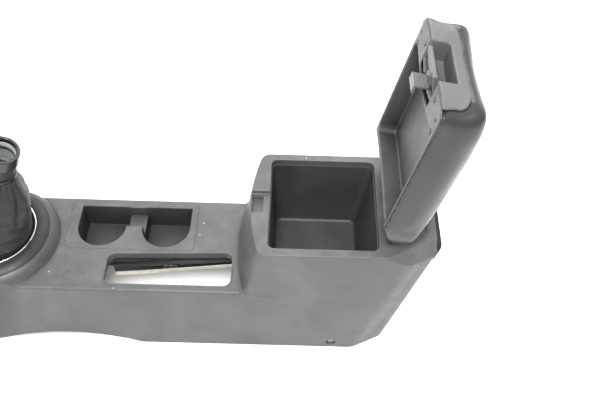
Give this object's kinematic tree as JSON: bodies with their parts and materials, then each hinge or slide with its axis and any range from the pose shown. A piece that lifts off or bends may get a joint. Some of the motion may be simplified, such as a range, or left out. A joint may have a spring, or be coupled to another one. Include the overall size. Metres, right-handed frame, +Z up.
{
  "type": "car center console",
  "caption": "Floor console for a car: deck with gear lever boot, cup wells and handbrake slot, and a storage bin under a padded latching lid.",
  "frame": {"origin": "on the floor under the middle of the whole, lid open", "axes": "+X towards the car's rear, +Y across the console, +Z up"},
  "size_m": [0.8216, 0.202, 0.5258],
  "materials": {
    "shell_plastic": "satin, fine moulded grain",
    "liner_plastic": "satin",
    "ring_plastic": "satin",
    "bright_ring": "polished",
    "boot_leather": "soft grain",
    "gloss_collar": "gloss",
    "vent_plastic": "satin",
    "duct_plastic": "plain moulded",
    "zinc_steel": "zinc plated",
    "lid_leather": "fine grain",
    "lid_panel_plastic": "satin",
    "lid_trim_plastic": "satin",
    "latch_plastic": "satin, ribbed"
  },
  "bodies": {
    "root": {"console_body": "shell_plastic", "rear_cover": "shell_plastic", "storage_bin": "liner_plastic", "cup_insert": "liner_plastic", "shift_bezel": "ring_plastic", "chrome_ring": "bright_ring", "boot_retainer": "liner_plastic", "shift_boot": "boot_leather", "boot_collar": "gloss_collar", "vent_housing": "vent_plastic", "air_duct": "duct_plastic", "hinge_bracket": "zinc_steel", "hinge_pin": "zinc_steel", "bin_screws": "zinc_steel", "hinge_screws": "zinc_steel", "side_screws": "zinc_steel"},
    "lid": {"lid_pad": "lid_leather", "lid_inner_panel": "lid_panel_plastic", "lid_front_trim": "lid_trim_plastic", "lid_hinge_leaf": "zinc_steel", "latch_pin": "zinc_steel", "latch_spring": "zinc_steel", "lid_screws": "zinc_steel"},
    "latch": {"latch_lever": "latch_plastic"},
    "slat_1": {"vent_slat_1": "vent_plastic"},
    "slat_2": {"vent_slat_2": "vent_plastic"},
    "slat_3": {"vent_slat_3": "vent_plastic"}
  },
  "joints": [
    {"name": "lid_hinge", "type": "hinge", "parent": "root", "child": "lid", "pos_m": [0.338, 0, 0.29], "axis": [0, 1, 0], "range_deg": [-101, 0]},
    {"name": "latch_release", "type": "hinge", "parent": "lid", "child": "latch", "pos_m": [0.35293, 0, 0.50307], "axis": [0, 1, 0], "range_deg": [0, 10], "stiffness_Nm_per_rad": 0.12, "springref_deg": -20.05},
    {"name": "slat_1_tilt", "type": "hinge", "parent": "root", "child": "slat_1", "pos_m": [0.39314, 0, 0.21211], "axis": [0, 1, 0], "range_deg": [-25, 25]},
    {"name": "slat_2_tilt", "type": "hinge", "parent": "root", "child": "slat_2", "pos_m": [0.39494, 0, 0.22058], "axis": [0, 1, 0], "range_deg": [-25, 25]},
    {"name": "slat_3_tilt", "type": "hinge", "parent": "root", "child": "slat_3", "pos_m": [0.39674, 0, 0.22906], "axis": [0, 1, 0], "range_deg": [-25, 25]}
  ],
  "couplings": [
    {"joint": "slat_1_tilt", "follows": "slat_2_tilt", "ratio": 1},
    {"joint": "slat_3_tilt", "follows": "slat_2_tilt", "ratio": 1}
  ]
}
